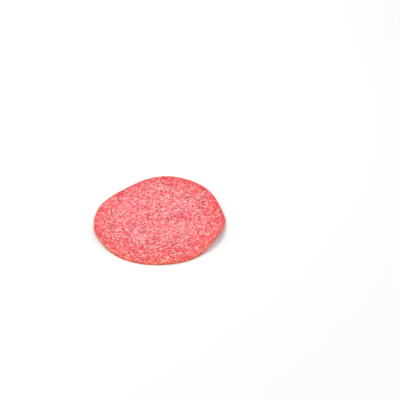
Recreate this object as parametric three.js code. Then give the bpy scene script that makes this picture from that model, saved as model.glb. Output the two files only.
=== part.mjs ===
// A thin slice of cervelat sausage. It is cut a little on the slant, so it is oval. It lies flat
// from the middle to the front, rises gently towards the back right, and its rim lifts off the
// table at two more places, as a limp slice's does. Millimetres, +Z up, +Y to the raised back.
import * as THREE from "three";
import { mergeGeometries, mergeVertices } from "three/addons/utils/BufferGeometryUtils.js";

// Slice
const MEAN_RADIUS = 54.5; // of the uneven outline
const THICKNESS = 1.3;
const CUT_EDGE = 0.3; // how far the two cut edges are rounded off at the rim

// Outline: low lobes on a circle. Share is a lobe's height as a part of the mean radius, and crest
// is the direction of one of its tops, in degrees from +X.
const LOBES = [
  { waves: 2, share: 0.065, crest: 92 }, // the oval of the slanting cut
  { waves: 3, share: 0.003, crest: 30 },
  { waves: 4, share: 0.009, crest: 1 },
  { waves: 5, share: 0.007, crest: 10 },
  { waves: 7, share: 0.006, crest: -8 },
];

// Rise of the back: nothing up to the start line, then a curve that reaches its height at the end.
const RISE = { height: 8, towards: 60, start: 8, end: 59, power: 1.5 };

// Sag: the share of the rise that the right-hand rim loses.
const SAG = { share: 0.8, at: 8, halfWidth: 36, inward: 3 };

// Lifts of the rim, each with its height, its direction and half of its width in degrees.
const LIFTS = [
  { height: 3.2, at: -30, halfWidth: 32 },
  { height: 2.6, at: -150, halfWidth: 35 },
];
const LIFT_FROM = 0.45; // share of the radius where a lift starts
const LIFT_POWER = 1.7;

// Mesh
const SPOKES = 96;
const RINGS = 10;

const { degToRad, clamp, euclideanModulo } = THREE.MathUtils;

function outlineRadius(angle) {
  let share = 1;
  for (const lobe of LOBES)
    share += lobe.share * Math.cos(lobe.waves * (angle - degToRad(lobe.crest)));
  return MEAN_RADIUS * share;
}

// A smooth hump over the angle, 1 at its middle and 0 from its half width on.
function hump(angle, { at, halfWidth }) {
  const aside = euclideanModulo(angle - degToRad(at) + Math.PI, 2 * Math.PI) - Math.PI;
  const part = clamp(Math.abs(aside) / degToRad(halfWidth), 0, 1);
  return Math.cos((part * Math.PI) / 2) ** 2;
}

function rise(x, y) {
  const along = x * Math.cos(degToRad(RISE.towards)) + y * Math.sin(degToRad(RISE.towards));
  const part = Math.max(0, (along - RISE.start) / (RISE.end - RISE.start));
  return RISE.height * part ** RISE.power;
}

// The underside's height over the table, where out is the share of the radius at this angle.
function heightAt(x, y, angle, out) {
  const sag = SAG.share * hump(angle, SAG) * out ** SAG.inward;
  const edge = clamp((out - LIFT_FROM) / (1 - LIFT_FROM), 0, 1) ** LIFT_POWER;
  let height = rise(x, y) * (1 - sag);
  for (const lift of LIFTS) height += lift.height * hump(angle, lift) * edge;
  return height;
}

// Takes a disc or a band of radius 1 to the slice's outline and drapes it.
function drape(geometry) {
  const place = geometry.getAttribute("position");
  for (let i = 0; i < place.count; i++) {
    const angle = Math.atan2(place.getY(i), place.getX(i));
    const out = Math.hypot(place.getX(i), place.getY(i));
    const x = out * outlineRadius(angle) * Math.cos(angle);
    const y = out * outlineRadius(angle) * Math.sin(angle);
    place.setXYZ(i, x, y, place.getZ(i) + heightAt(x, y, angle, out));
  }
  return geometry;
}

// Share of the radius where a flat face ends and the rounded cut edge starts.
const FACE_END = 1 - CUT_EDGE / MEAN_RADIUS;

// One face of the slice, a flat disc of equal rings at the given height, facing up.
function face(height) {
  const ring = FACE_END / RINGS;
  const middle = new THREE.CircleGeometry(ring, SPOKES);
  const rings = new THREE.RingGeometry(ring, FACE_END, SPOKES, RINGS - 1);
  return mergeGeometries([middle, rings]).translate(0, 0, height);
}

// The same disc facing down: its triangles are taken the other way round.
function underside() {
  const down = face(0);
  down.index.array.reverse();
  return down;
}

// The band between the two faces, with both cut edges rounded off.
function rim() {
  const profile = [
    new THREE.Vector2(FACE_END, 0),
    new THREE.Vector2(1, CUT_EDGE),
    new THREE.Vector2(1, THICKNESS - CUT_EDGE),
    new THREE.Vector2(FACE_END, THICKNESS),
  ];
  return new THREE.LatheGeometry(profile, SPOKES).rotateX(Math.PI / 2);
}

// The whole closed slice, with its origin under the middle of its box.
function sliceGeometry() {
  const skin = mergeGeometries([underside(), rim(), face(THICKNESS)]);
  skin.deleteAttribute("normal");
  skin.deleteAttribute("uv");
  const solid = drape(mergeVertices(skin, 1e-4));
  solid.computeBoundingBox();
  const middle = solid.boundingBox.getCenter(new THREE.Vector3());
  solid.translate(-middle.x, -middle.y, 0);
  solid.computeVertexNormals();
  return solid;
}

const meat = new THREE.MeshStandardMaterial({ color: 0xf58488, roughness: 0.5, metalness: 0 });
const slice = new THREE.Mesh(sliceGeometry(), meat);
slice.name = "slice";

const cervelat = new THREE.Group();
cervelat.add(slice);

export default cervelat;
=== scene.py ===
from math import atan2, cos, hypot, pi, radians, sin, sqrt

import bmesh
import bpy
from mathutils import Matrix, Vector, noise


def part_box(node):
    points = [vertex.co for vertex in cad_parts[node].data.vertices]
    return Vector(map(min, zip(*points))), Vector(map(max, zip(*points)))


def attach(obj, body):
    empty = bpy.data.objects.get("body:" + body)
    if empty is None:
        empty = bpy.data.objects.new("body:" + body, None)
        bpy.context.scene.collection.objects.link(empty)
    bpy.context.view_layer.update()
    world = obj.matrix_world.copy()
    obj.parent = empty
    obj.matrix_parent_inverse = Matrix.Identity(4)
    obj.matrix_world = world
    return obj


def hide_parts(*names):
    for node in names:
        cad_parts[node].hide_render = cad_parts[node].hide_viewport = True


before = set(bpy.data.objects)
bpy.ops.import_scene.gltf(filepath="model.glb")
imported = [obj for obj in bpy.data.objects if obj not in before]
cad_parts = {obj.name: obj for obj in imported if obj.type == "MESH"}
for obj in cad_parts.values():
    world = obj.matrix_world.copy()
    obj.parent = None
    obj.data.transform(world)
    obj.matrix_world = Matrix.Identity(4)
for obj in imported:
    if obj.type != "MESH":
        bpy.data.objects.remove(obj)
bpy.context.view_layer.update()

mm = 0.001
white = (1, 1, 1, 1)
scene = bpy.context.scene


def colour(red, green, blue):  # screen values of 11 to 255 to the linear ones that a shader takes
    return tuple(((c / 255 + 0.055) / 1.055) ** 2.4 for c in (red, green, blue)) + (1,)


def addObject(name, data):
    item = bpy.data.objects.new(name, data)
    scene.collection.objects.link(item)
    return item


def addMeshObject(name, bm):
    mesh = bpy.data.meshes.new(name)
    bm.to_mesh(mesh)
    bm.free()
    return addObject(name, mesh)


# Camera: straight over the near rim, as the photo was taken

cameraSetup = {
    "lens": 91.9,
    "sensor": 36,
    "above": 31.5,  # degrees over the table
    "distance": 0.827,
    "lookAt": (0.0317, 0.033, 0),  # the point of the table at the picture's middle
}


def makeCamera():
    lens = bpy.data.cameras.new("camera")
    lens.lens = cameraSetup["lens"]
    lens.sensor_width = cameraSetup["sensor"]
    camera = addObject("camera", lens)
    above = radians(cameraSetup["above"])
    back = Vector((0, -cos(above), sin(above)))
    camera.location = Vector(cameraSetup["lookAt"]) + cameraSetup["distance"] * back
    camera.rotation_euler = (pi / 2 - above, 0, 0)
    scene.camera = camera


makeCamera()
print("camera is up")


# Nodes: small makers that work in a material's tree and in a geometry tree alike

noiseSetup = {
    "detail": 2.0,
    "roughness": 0.55,
    "mean": 0.5,
    "span": (0.3, 0.7),  # nearly all of its values lie in here
}


def addNode(tree, kind, inputs, **settings):
    node = tree.nodes.new(kind)
    for name, value in settings.items():
        setattr(node, name, value)
    for name, value in inputs.items():
        if isinstance(value, bpy.types.NodeSocket):
            tree.links.new(value, node.inputs[name])
        else:
            node.inputs[name].default_value = value
    return node


def maths(tree, operation, first, second=0.0):
    return addNode(tree, "ShaderNodeMath", {0: first, 1: second}, operation=operation).outputs[0]


def plus(tree, first, second):
    return maths(tree, "ADD", first, second)


def minus(tree, first, second):
    return maths(tree, "SUBTRACT", first, second)


def times(tree, first, second):
    return maths(tree, "MULTIPLY", first, second)


def vectorMaths(tree, operation, first, second):
    return addNode(tree, "ShaderNodeVectorMath", {0: first, 1: second}, operation=operation).outputs[0]


def scaled(tree, vector, scale):
    return addNode(tree, "ShaderNodeVectorMath", {0: vector, "Scale": scale}, operation="SCALE").outputs[0]


def split(tree, vector):  # the three values of a vector or a colour
    return addNode(tree, "ShaderNodeSeparateXYZ", {0: vector}).outputs


def between(tree, value, low, high, start=0.0, end=1.0):  # a smooth step from start to end
    inputs = {"Value": value, "From Min": low, "From Max": high, "To Min": start, "To Max": end}
    node = addNode(tree, "ShaderNodeMapRange", inputs, interpolation_type="SMOOTHSTEP")
    return node.outputs["Result"]


def noiseAt(tree, place, size, detail=noiseSetup["detail"], output="Fac"):  # size is that of its spots
    inputs = {"Vector": place, "Scale": 1 / size, "Detail": detail, "Roughness": noiseSetup["roughness"]}
    return addNode(tree, "ShaderNodeTexNoise", inputs).outputs[output]


def driftOf(tree, value, reach):  # noise as a soft change from -reach to reach
    return between(tree, value, *noiseSetup["span"], -reach, reach)


def cellsAt(tree, place, size, softness=None):
    node = addNode(tree, "ShaderNodeTexVoronoi", {"Vector": place, "Scale": 1 / size})
    if softness is not None:
        node.feature = "SMOOTH_F1"
        node.inputs["Smoothness"].default_value = softness
    return node.outputs


def rampOf(tree, value, stops):
    node = addNode(tree, "ShaderNodeValToRGB", {"Fac": value})
    elements = node.color_ramp.elements
    while len(elements) < len(stops):
        elements.new(0.5)  # its real place comes below
    for element, (position, shade) in zip(elements, stops):
        element.position = position
        element.color = shade
    return node.outputs["Color"]


def mixed(tree, factor, below, above, blend="MIX"):
    inputs = {0: factor, 6: below, 7: above}  # 6 and 7 take colours, and output 2 gives one
    return addNode(tree, "ShaderNodeMix", inputs, data_type="RGBA", blend_type=blend).outputs[2]


# The minced meat's grain, in mm: the relief and the colours share it, so they fit each other

grain = {
    "bend": ((2.6, 1.0), (0.9, 0.32), (0.3, 0.10)),  # size and reach of what bends the grains out of round
    "bendDetail": 1.0,
    "squeeze": {"most": 0.08, "power": 6},  # the filling pressed the grains flat against the skin
    "softness": 0.5,
    # a grain is fat where its draw of 0 to 1 is over fatFrom
    "kinds": {"coarse": {"size": 1.4, "fatFrom": 0.61, "strength": 1.0},
              "fine": {"size": 0.72, "fatFrom": 0.64, "strength": 0.8}},
    "rarerAtRim": 0.06,  # added to fatFrom
    "fatEdge": (-0.05, 0.09),
    "haloStart": (-0.15, -0.08),  # the thin seam round the fat
    "haloEnd": (-0.06, 0.0),
    "spots": {"paleFleck": {"apart": 6.5, "radius": 0.17, "rarity": 0.6},
              # shadedPit: pits pressed into the meat, with painted shade as their dark colour
              "shadedPit": {"apart": 1.9, "radius": 0.30, "rarity": 0.66},
              "beigeSpot": {"apart": 4.6, "radius": 0.15, "rarity": 0.6}},  # radius is a share of apart
    "rarityEdge": 0.02,
    "relief": 0.05,  # how far lean meat lies under fat
    "pitDepth": 2.0,  # times the relief
}


def grainMasks(tree, place, out, towardsRim):
    squeeze = grain["squeeze"]
    squeezed = times(tree, maths(tree, "POWER", out, squeeze["power"]), squeeze["most"])
    bent = scaled(tree, place, plus(tree, squeezed, 1.0))
    for size, reach in grain["bend"]:
        wander = noiseAt(tree, bent, size, grain["bendDetail"], "Color")
        centred = vectorMaths(tree, "SUBTRACT", wander, (noiseSetup["mean"],) * 3)
        bent = vectorMaths(tree, "ADD", bent, scaled(tree, centred, 2 * reach))

    masks = {"bent": bent, "fat": 0.0, "halo": 0.0}
    for name, kind in grain["kinds"].items():
        draw = split(tree, cellsAt(tree, bent, kind["size"], grain["softness"])["Color"])
        fatFrom = plus(tree, kind["fatFrom"], times(tree, towardsRim, grain["rarerAtRim"]))
        over = minus(tree, draw[0], fatFrom)
        fat = times(tree, between(tree, over, *grain["fatEdge"]), kind["strength"])
        halo = times(tree, between(tree, over, *grain["haloStart"]),
                     between(tree, over, *grain["haloEnd"], 1.0, 0.0))
        masks["fat"] = maths(tree, "MAXIMUM", masks["fat"], fat)
        masks["halo"] = maths(tree, "MAXIMUM", masks["halo"], halo)
        masks[name + "Draw"] = draw
    masks["halo"] = times(tree, masks["halo"], minus(tree, 1.0, masks["fat"]))

    for name, spot in grain["spots"].items():
        cells = cellsAt(tree, bent, spot["apart"])
        draw = split(tree, cells["Color"])[0]
        disc = between(tree, cells["Distance"], spot["radius"] / 2, spot["radius"], 1.0, 0.0)
        there = between(tree, draw, spot["rarity"], spot["rarity"] + grain["rarityEdge"])
        masks[name] = times(tree, disc, there)
    return masks


# The slice: an uneven oval, flat from the middle to the near rim, raised towards the far right

sliceSizes = {
    "meanRadius": 54.5 * mm,
    "thickness": 1.3 * mm,
    # waves round the outline, their height as a share of the radius, and the angle of a crest in degrees
    "lobes": ((2, 0.065, 92), (3, 0.003, 30), (4, 0.009, 1), (5, 0.007, 10), (7, 0.006, -8)),
    "rise": {"height": 8 * mm, "towards": 60, "start": 8 * mm, "end": 59 * mm, "power": 1.5},
    "sag": {"share": 0.8, "at": 8, "halfWidth": 36, "inward": 3},  # where the raised side hangs down again
    "lifts": ({"height": 3.2 * mm, "at": -30, "halfWidth": 32},
              {"height": 2.6 * mm, "at": -150, "halfWidth": 35}),
    "liftFrom": 0.45,
    "liftPower": 1.7,
    "triangleRows": 120,  # from the middle to the rim
    "rimRows": 5,
    "rimRound": 0.35 * mm,
    "rimFlatness": 4,  # 2 is a half circle, and more is squarer
    "rimWander": ((9 * mm, 0.25 * mm), (2.2 * mm, 0.12 * mm)),  # size and height of its uneven spots
    "rimOnly": 12,  # the power that keeps the wander to the rim
    "unevenness": ((11 * mm, 0.16 * mm), (4 * mm, 0.07 * mm)),  # size and height of the upper face's hills
}


def outlineRadius(angle):
    share = 1
    for waves, height, crest in sliceSizes["lobes"]:
        share += height * cos(waves * (angle - radians(crest)))
    return sliceSizes["meanRadius"] * share


def hump(angle, at, halfWidth):  # 1 at its middle, 0 from half its width on
    aside = (angle - radians(at) + pi) % (2 * pi) - pi
    part = min(abs(aside) / radians(halfWidth), 1)
    return cos(part * pi / 2) ** 2


def heightAt(x, y, angle, out):
    rise, sag = sliceSizes["rise"], sliceSizes["sag"]
    towards = radians(rise["towards"])
    along = x * cos(towards) + y * sin(towards)
    part = max(0, (along - rise["start"]) / (rise["end"] - rise["start"]))
    kept = 1 - sag["share"] * hump(angle, sag["at"], sag["halfWidth"]) * out ** sag["inward"]
    edge = max(0, (out - sliceSizes["liftFrom"]) / (1 - sliceSizes["liftFrom"])) ** sliceSizes["liftPower"]
    height = rise["height"] * part ** rise["power"] * kept
    for lift in sliceSizes["lifts"]:
        height += lift["height"] * hump(angle, lift["at"], lift["halfWidth"]) * edge
    return height


def hills(point, layers):  # soft random hills of the given sizes and heights
    return sum(height * noise.noise(point / size) for size, height in layers)


def hexagonDisc(bm, rows):  # a disc of radius 1 in even triangles, without a pole
    sector = radians(60)
    tiny = 1e-6  # stands in for the middle point's distance of 0
    bmesh.ops.create_circle(bm, cap_ends=True, cap_tris=True, segments=6, radius=1)
    bmesh.ops.subdivide_edges(bm, edges=bm.edges[:], cuts=rows - 1, use_grid_fill=True)
    for vert in bm.verts:  # presses the hexagon's sides out to a circle
        angle = atan2(vert.co.y, vert.co.x)
        side = round(angle / sector) * sector
        reach = vert.co.length * cos(angle - side)
        aside = vert.co.length * sin(angle - side)
        out = reach / cos(sector / 2)
        turn = side + sector * aside / max(out, tiny)
        vert.co = (out * cos(turn), out * sin(turn), 1)


def closeDisc(bm, rows):  # adds the lower face and the wall between
    made = bmesh.ops.duplicate(bm, geom=bm.verts[:] + bm.edges[:] + bm.faces[:])["geom"]
    lower = [item for item in made if isinstance(item, bmesh.types.BMVert)]
    bmesh.ops.translate(bm, verts=lower, vec=(0, 0, -1))
    bmesh.ops.reverse_faces(bm, faces=[item for item in made if isinstance(item, bmesh.types.BMFace)])
    wall = bmesh.ops.bridge_loops(bm, edges=[edge for edge in bm.edges if edge.is_boundary])
    bmesh.ops.subdivide_edges(bm, edges=wall["edges"], cuts=rows, use_grid_fill=True)


def shapeSlice(bm):  # takes the disc of radius and height 1 to the slice's outline and height
    outLayer = bm.verts.layers.float.new("out")
    for vert in bm.verts:
        x, y, level = vert.co
        out, angle = hypot(x, y), atan2(y, x)
        vert[outLayer] = out
        fullness = sqrt(1 - abs(2 * level - 1) ** sliceSizes["rimFlatness"])
        radius = outlineRadius(angle) - sliceSizes["rimRound"] * (1 - fullness)
        rimPlace = Vector((cos(angle), sin(angle), 0)) * sliceSizes["meanRadius"]
        radius += hills(rimPlace, sliceSizes["rimWander"]) * out ** sliceSizes["rimOnly"]
        x, y = out * radius * cos(angle), out * radius * sin(angle)
        height = heightAt(x, y, angle, out) + sliceSizes["thickness"] * level
        height += level * hills(Vector((x, y, 0)), sliceSizes["unevenness"])
        vert.co = (x, y, height)


def centreOn(bm, low, high):  # moves it over the middle of the box from low to high, seen from above
    step = Vector()
    for axis in (0, 1):
        places = [vert.co[axis] for vert in bm.verts]
        step[axis] = (low[axis] + high[axis] - max(places) - min(places)) / 2
    bmesh.ops.translate(bm, verts=bm.verts[:], vec=step)


def grainRelief(piece):  # presses the lean meat and the pits in, and leaves the fat at its height
    tree = bpy.data.node_groups.new("grainRelief", "GeometryNodeTree")
    for side in ("INPUT", "OUTPUT"):
        tree.interface.new_socket("Geometry", in_out=side, socket_type="NodeSocketGeometry")
    shape = addNode(tree, "NodeGroupInput", {}).outputs[0]
    place = addNode(tree, "GeometryNodeInputPosition", {}).outputs[0]
    normal = addNode(tree, "GeometryNodeInputNormal", {}).outputs[0]
    out = addNode(tree, "GeometryNodeInputNamedAttribute", {"Name": "out"}, data_type="FLOAT").outputs[0]
    masks = grainMasks(tree, scaled(tree, place, 1 / mm), out, 0.0)
    depth = minus(tree, masks["fat"], masks["halo"])
    depth = minus(tree, depth, times(tree, masks["shadedPit"], grain["pitDepth"]))
    depth = times(tree, minus(tree, depth, 1.0), grain["relief"] * mm)
    offset = scaled(tree, normal, depth)
    moved = addNode(tree, "GeometryNodeSetPosition", {"Geometry": shape, "Offset": offset}).outputs[0]
    addNode(tree, "NodeGroupOutput", {0: moved})
    piece.modifiers.new("grain", "NODES").node_group = tree
    view = bpy.context.evaluated_depsgraph_get()
    piece.data = bpy.data.meshes.new_from_object(piece.evaluated_get(view))
    piece.modifiers.clear()


def makeSlice():
    bm = bmesh.new()
    hexagonDisc(bm, sliceSizes["triangleRows"])
    closeDisc(bm, sliceSizes["rimRows"])
    shapeSlice(bm)
    centreOn(bm, *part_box("slice"))
    bmesh.ops.triangulate(bm, faces=[face for face in bm.faces if len(face.verts) > 3])
    for face in bm.faces:
        face.smooth = True
    piece = addMeshObject("cervelatSlice", bm)
    grainRelief(piece)
    return piece


piece = makeSlice()
print("slice has", len(piece.data.polygons), "triangles")


# Finish of the meat: pale fat and pink to red lean grains, redder towards the rim, with a brown skin

meatLook = {
    "lean": ((0.16, colour(196, 20, 52)), (0.43, colour(235, 50, 78)), (0.64, colour(250, 80, 100)),
             (0.92, colour(255, 117, 127))),
    "leanDraws": {"coarse": 0.55, "fine": 0.45},  # what each kind of grain adds to the lean meat's tone
    "drift": ((24, 0.10), (7, 0.12)),  # size in mm and reach of the slow changes of tone
    "mottle": {"size": 0.22, "detail": 3.0, "reach": 0.12},
    "fat": ((0.0, colour(255, 144, 151)), (0.55, colour(255, 169, 172)), (1.0, colour(255, 212, 205))),
    "fatDraws": {"coarse": 0.7, "mottle": 0.35},
    "fatCover": 0.92,
    "rosy": (1.0, 0.95, 1.0, 1),  # tints that whole patches lean to
    "coral": (1.0, 1.0, 0.9, 1),
    "patches": {"sizes": ((4.2, 0.6), (13, 0.4)), "edge": (0.38, 0.62)},  # each size with its share
    "roughness": {"size": 3.0, "least": 0.34, "most": 0.52, "fat": -0.06},
    "bump": {"mottle": 0.12, "fat": 0.12, "shadedPit": -0.2, "shadedSeams": -0.12, "strength": 0.8},  # heights in mm
    "finish": {"Specular IOR Level": 0.35, "Subsurface Weight": 0.25, "Subsurface Scale": 0.8 * mm,
               "Subsurface Radius": (1.0, 0.35, 0.25),
               "Coat Weight": 0.12, "Coat Roughness": 0.2},  # a moist film
}

# What is called at is a share of the radius, and what is called over is y, growing to the far side
rimLook = {
    "wander": {"size": 6, "reach": 0.06},
    # the rim's darker red starts sooner at the near side: painted shade there
    "redderRimAndNearShade": {"at": (0.5, 1.0), "over": (-40, 40), "near": 0.06, "far": -0.1},  # sooner at the near side
    "darker": 0.05,
    "deeper": (1.1, 0.42, 0.46, 1),  # what the lean meat's colour is multiplied by at the rim
    "fat": colour(255, 172, 160),
    "fatMix": 0.4,
    "nearSide": {"over": (-44, -18)},  # less of the band, and all of the smoke
    "band": {"at": (0.90, 0.97), "colour": colour(226, 26, 50), "size": 1.6, "edge": (0.4, 0.6),
             "least": 0.3, "most": 1.0, "lostNear": 0.8},  # lean meat smeared along the skin
    "smoke": {"at": (0.88, 0.98), "tint": (1.0, 1.08, 0.8, 1)},  # what smoke left in the meat near the skin
    "skin": {"at": (0.992, 0.998), "size": 1.2, "reach": 0.002, "cover": 0.85},
    "skinSpots": {"size": 5, "detail": 3.0},
    "skinColours": ((0.3, colour(196, 64, 44)), (0.5, colour(236, 100, 66)), (0.7, colour(248, 146, 102))),
}

fleckLook = {
    # shadedSeams: painted shade, a dark colour in the seams that hug some of the fat
    "shadedSeams": {"size": 1.6, "edge": (0.48, 0.62), "colour": colour(186, 62, 66), "cover": 0.8},
    "strands": {"size": 2.4, "detail": 1.0, "width": (0.008, 0.022), "colour": colour(255, 196, 184),
                "cover": 0.6},
    "strandPatches": {"size": 3.3, "edge": (0.5, 0.6)},
    # the shadedPit colour is painted shade inside the pits
    "spotColours": {"paleFleck": colour(255, 206, 192), "shadedPit": colour(150, 52, 54),
                    "beigeSpot": colour(206, 158, 134)},
    "spotCover": 0.75,
}


def newMaterial(name, finish):  # finish: what is the same all over the surface
    material = bpy.data.materials.new(name)
    material.use_nodes = True
    shader = material.node_tree.nodes["Principled BSDF"]
    for socket, value in finish.items():
        shader.inputs[socket].default_value = value
    return material, material.node_tree, shader


def meatColour(tree, place, towardsRim, masks, mottle):
    tone = plus(tree, times(tree, masks["coarseDraw"][1], meatLook["leanDraws"]["coarse"]),
                times(tree, masks["fineDraw"][1], meatLook["leanDraws"]["fine"]))
    for size, reach in meatLook["drift"]:
        tone = plus(tree, tone, driftOf(tree, noiseAt(tree, place, size), reach))
    tone = plus(tree, tone, driftOf(tree, mottle, meatLook["mottle"]["reach"]))
    tone = minus(tree, tone, times(tree, towardsRim, rimLook["darker"]))
    lean = mixed(tree, towardsRim, rampOf(tree, tone, meatLook["lean"]), rimLook["deeper"], "MULTIPLY")

    fatTone = plus(tree, times(tree, masks["coarseDraw"][2], meatLook["fatDraws"]["coarse"]),
                   times(tree, mottle, meatLook["fatDraws"]["mottle"]))
    fatMix = times(tree, towardsRim, rimLook["fatMix"])
    fat = mixed(tree, fatMix, rampOf(tree, fatTone, meatLook["fat"]), rimLook["fat"])
    base = mixed(tree, times(tree, masks["fat"], meatLook["fatCover"]), lean, fat)

    hue = 0.0
    for size, share in meatLook["patches"]["sizes"]:
        hue = plus(tree, hue, times(tree, noiseAt(tree, place, size), share))
    patches = between(tree, hue, *meatLook["patches"]["edge"])
    tint = mixed(tree, patches, meatLook["rosy"], meatLook["coral"])
    return mixed(tree, 1.0, base, tint, "MULTIPLY")


def rimColour(tree, place, ahead, wavyOut, base):
    near = between(tree, ahead, *rimLook["nearSide"]["over"], 1.0, 0.0)
    band, smoke = rimLook["band"], rimLook["smoke"]
    smeared = between(tree, noiseAt(tree, place, band["size"]), *band["edge"], band["least"], band["most"])
    smeared = times(tree, smeared, minus(tree, 1.0, times(tree, near, band["lostNear"])))
    smeared = times(tree, between(tree, wavyOut, *band["at"]), smeared)
    base = mixed(tree, smeared, base, band["colour"])
    smoked = times(tree, between(tree, wavyOut, *smoke["at"]), near)
    return mixed(tree, smoked, base, smoke["tint"], "MULTIPLY")


# shadedSeams is painted shade in the seams round some of the fat
def fleckColour(tree, place, masks, shadedSeams, base):  # dark arcs that hug some of the fat, strands and spots
    base = mixed(tree, times(tree, shadedSeams, fleckLook["shadedSeams"]["cover"]), base, fleckLook["shadedSeams"]["colour"])
    strands, patches = fleckLook["strands"], fleckLook["strandPatches"]
    winding = noiseAt(tree, masks["bent"], strands["size"], strands["detail"])
    ridge = maths(tree, "ABSOLUTE", minus(tree, winding, noiseSetup["mean"]))
    kept = between(tree, noiseAt(tree, place, patches["size"]), *patches["edge"])
    lines = times(tree, between(tree, ridge, *strands["width"], 1.0, 0.0), kept)
    base = mixed(tree, times(tree, lines, strands["cover"]), base, strands["colour"])
    for name, shade in fleckLook["spotColours"].items():
        base = mixed(tree, times(tree, masks[name], fleckLook["spotCover"]), base, shade)
    return base


def skinColour(tree, place, out, base):
    skin, spots = rimLook["skin"], rimLook["skinSpots"]
    shades = rampOf(tree, noiseAt(tree, place, spots["size"], spots["detail"]), rimLook["skinColours"])
    edge = plus(tree, out, driftOf(tree, noiseAt(tree, place, skin["size"]), skin["reach"]))
    onSkin = times(tree, between(tree, edge, *skin["at"]), skin["cover"])
    return mixed(tree, onSkin, base, shades)


def meatRoughness(tree, place, masks):
    rough = meatLook["roughness"]
    spots = noiseAt(tree, place, rough["size"])
    roughness = between(tree, spots, *noiseSetup["span"], rough["least"], rough["most"])
    return plus(tree, roughness, times(tree, masks["fat"], rough["fat"]))


def meatBump(tree, masks, mottle, shadedSeams):
    bump = meatLook["bump"]
    height = times(tree, mottle, bump["mottle"])
    for mask, rise in ((masks["fat"], bump["fat"]), (masks["shadedPit"], bump["shadedPit"]), (shadedSeams, bump["shadedSeams"])):
        height = plus(tree, height, times(tree, mask, rise))
    inputs = {"Height": height, "Distance": mm, "Strength": bump["strength"]}
    return addNode(tree, "ShaderNodeBump", inputs).outputs[0]


def meatMaterial():
    material, tree, shader = newMaterial("meat", meatLook["finish"])
    metres = addNode(tree, "ShaderNodeTexCoord", {}).outputs["Object"]
    place = scaled(tree, metres, 1 / mm)
    ahead = split(tree, place)[1]
    out = addNode(tree, "ShaderNodeAttribute", {}, attribute_name="out").outputs["Fac"]
    wander, redderRimAndNearShade = rimLook["wander"], rimLook["redderRimAndNearShade"]
    wavyOut = plus(tree, out, driftOf(tree, noiseAt(tree, place, wander["size"]), wander["reach"]))
    # painted shade: the rim's darker red tone reaches further in at the near side
    nearShadeShift = between(tree, ahead, *redderRimAndNearShade["over"], redderRimAndNearShade["near"], redderRimAndNearShade["far"])
    towardsRim = between(tree, plus(tree, wavyOut, nearShadeShift), *redderRimAndNearShade["at"])
    masks = grainMasks(tree, place, out, towardsRim)
    mottle = noiseAt(tree, place, meatLook["mottle"]["size"], meatLook["mottle"]["detail"])
    # painted shade in the seams round some of the fat, broken up by noise
    broken = between(tree, noiseAt(tree, place, fleckLook["shadedSeams"]["size"]), *fleckLook["shadedSeams"]["edge"])
    shadedSeams = times(tree, masks["halo"], broken)

    base = meatColour(tree, place, towardsRim, masks, mottle)
    base = rimColour(tree, place, ahead, wavyOut, base)
    base = fleckColour(tree, place, masks, shadedSeams, base)
    base = skinColour(tree, place, out, base)
    tree.links.new(base, shader.inputs["Base Color"])
    tree.links.new(meatRoughness(tree, place, masks), shader.inputs["Roughness"])
    tree.links.new(meatBump(tree, masks, mottle, shadedSeams), shader.inputs["Normal"])
    return material


piece.data.materials.append(meatMaterial())
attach(piece, "root")
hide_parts("slice")
print("meat is finished")


# Table: plain and pale

tableLook = {
    "halfSize": 3,
    "finish": {"Base Color": (0.9, 0.9, 0.9, 1), "Roughness": 0.7, "Emission Color": white},
    "glow": {"away": (0.4, 1.5), "most": 0.4},  # the far table is as white as the walls
}


def makeTable():
    bm = bmesh.new()
    bmesh.ops.create_grid(bm, x_segments=1, y_segments=1, size=tableLook["halfSize"])
    table = addMeshObject("table", bm)
    material, tree, shader = newMaterial("paleTable", tableLook["finish"])
    place = addNode(tree, "ShaderNodeTexCoord", {}).outputs["Object"]
    away = addNode(tree, "ShaderNodeVectorMath", {0: place}, operation="LENGTH").outputs["Value"]
    glow = between(tree, away, *tableLook["glow"]["away"], 0.0, tableLook["glow"]["most"])
    tree.links.new(glow, shader.inputs["Emission Strength"])
    table.data.materials.append(material)


# Light: soft, from the far left, with a weak fill from the near right

lamps = {
    "key": {"at": (-0.5, 0.5, 0.9), "size": 0.5, "watts": 6.1},
    "fill": {"at": (0.6, -0.7, 0.7), "size": 0.9, "watts": 1.6},
}
studio = {"up": (0.25, 0.9), "walls": 1.0, "ceiling": 0.6}  # white walls, and a dimmer ceiling overhead


def makeLight():
    for name, lamp in lamps.items():
        data = bpy.data.lights.new(name, "AREA")
        data.size = lamp["size"]
        data.energy = lamp["watts"]
        light = addObject(name, data)
        light.location = lamp["at"]
        light.rotation_euler = (-Vector(lamp["at"])).to_track_quat("-Z", "Y").to_euler()
    world = bpy.data.worlds.new("studio")
    world.use_nodes = True
    tree = world.node_tree
    background = tree.nodes["Background"]
    up = split(tree, addNode(tree, "ShaderNodeTexCoord", {}).outputs["Generated"])[2]
    strength = between(tree, up, *studio["up"], studio["walls"], studio["ceiling"])
    tree.links.new(strength, background.inputs["Strength"])
    background.inputs["Color"].default_value = white
    scene.world = world
    scene.view_settings.view_transform = "Standard"


makeTable()
makeLight()
print("light is on")
